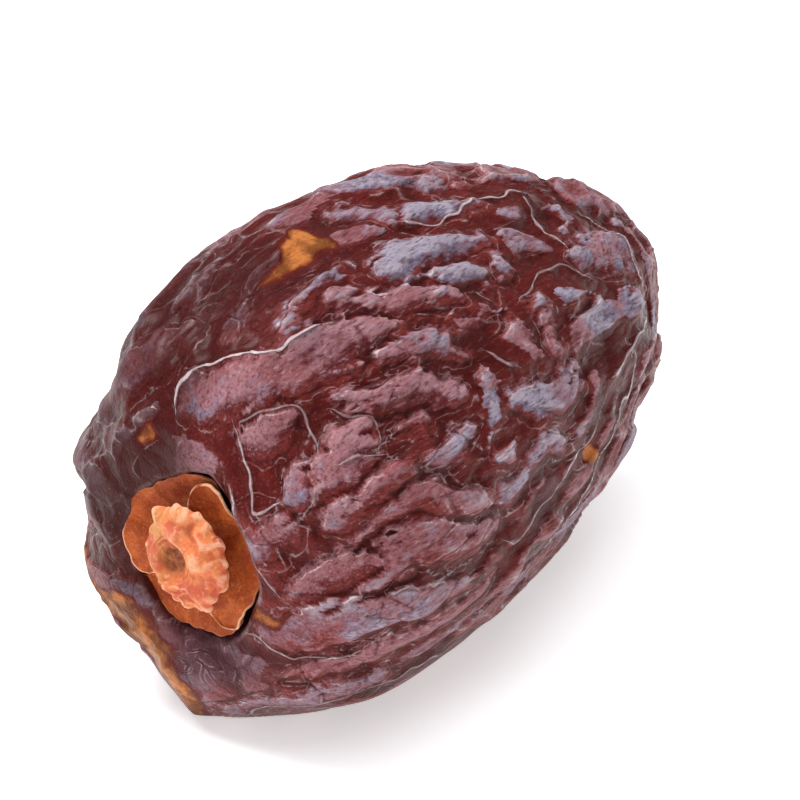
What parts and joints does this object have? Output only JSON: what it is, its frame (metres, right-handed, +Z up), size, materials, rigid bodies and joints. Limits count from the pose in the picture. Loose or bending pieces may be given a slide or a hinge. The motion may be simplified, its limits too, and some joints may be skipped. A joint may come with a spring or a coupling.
{
  "type": "medjool date",
  "caption": "Dried medjool date lying on its side: a wrinkled fruit with dry petals and a crumpled calyx in the hollow of its stem end.",
  "frame": {"origin": "on the surface that the date rests on, below the middle of its bounding box", "axes": "+X from the stem end to the tip, +Z up; the date lies on the flat spot under its weight"},
  "size_m": [0.049, 0.0278, 0.0299],
  "materials": {
    "skin": "semi-gloss wrinkled fruit skin, dark red-brown with a mauve bloom on the folds",
    "petal": "dry, orange-brown, faintly ribbed",
    "calyx": "dry, crumpled, light orange with paler edges"
  },
  "bodies": {
    "root": {"fruit": "skin", "petal_1": "petal", "petal_2": "petal", "petal_3": "petal", "calyx": "calyx"}
  },
  "joints": []
}
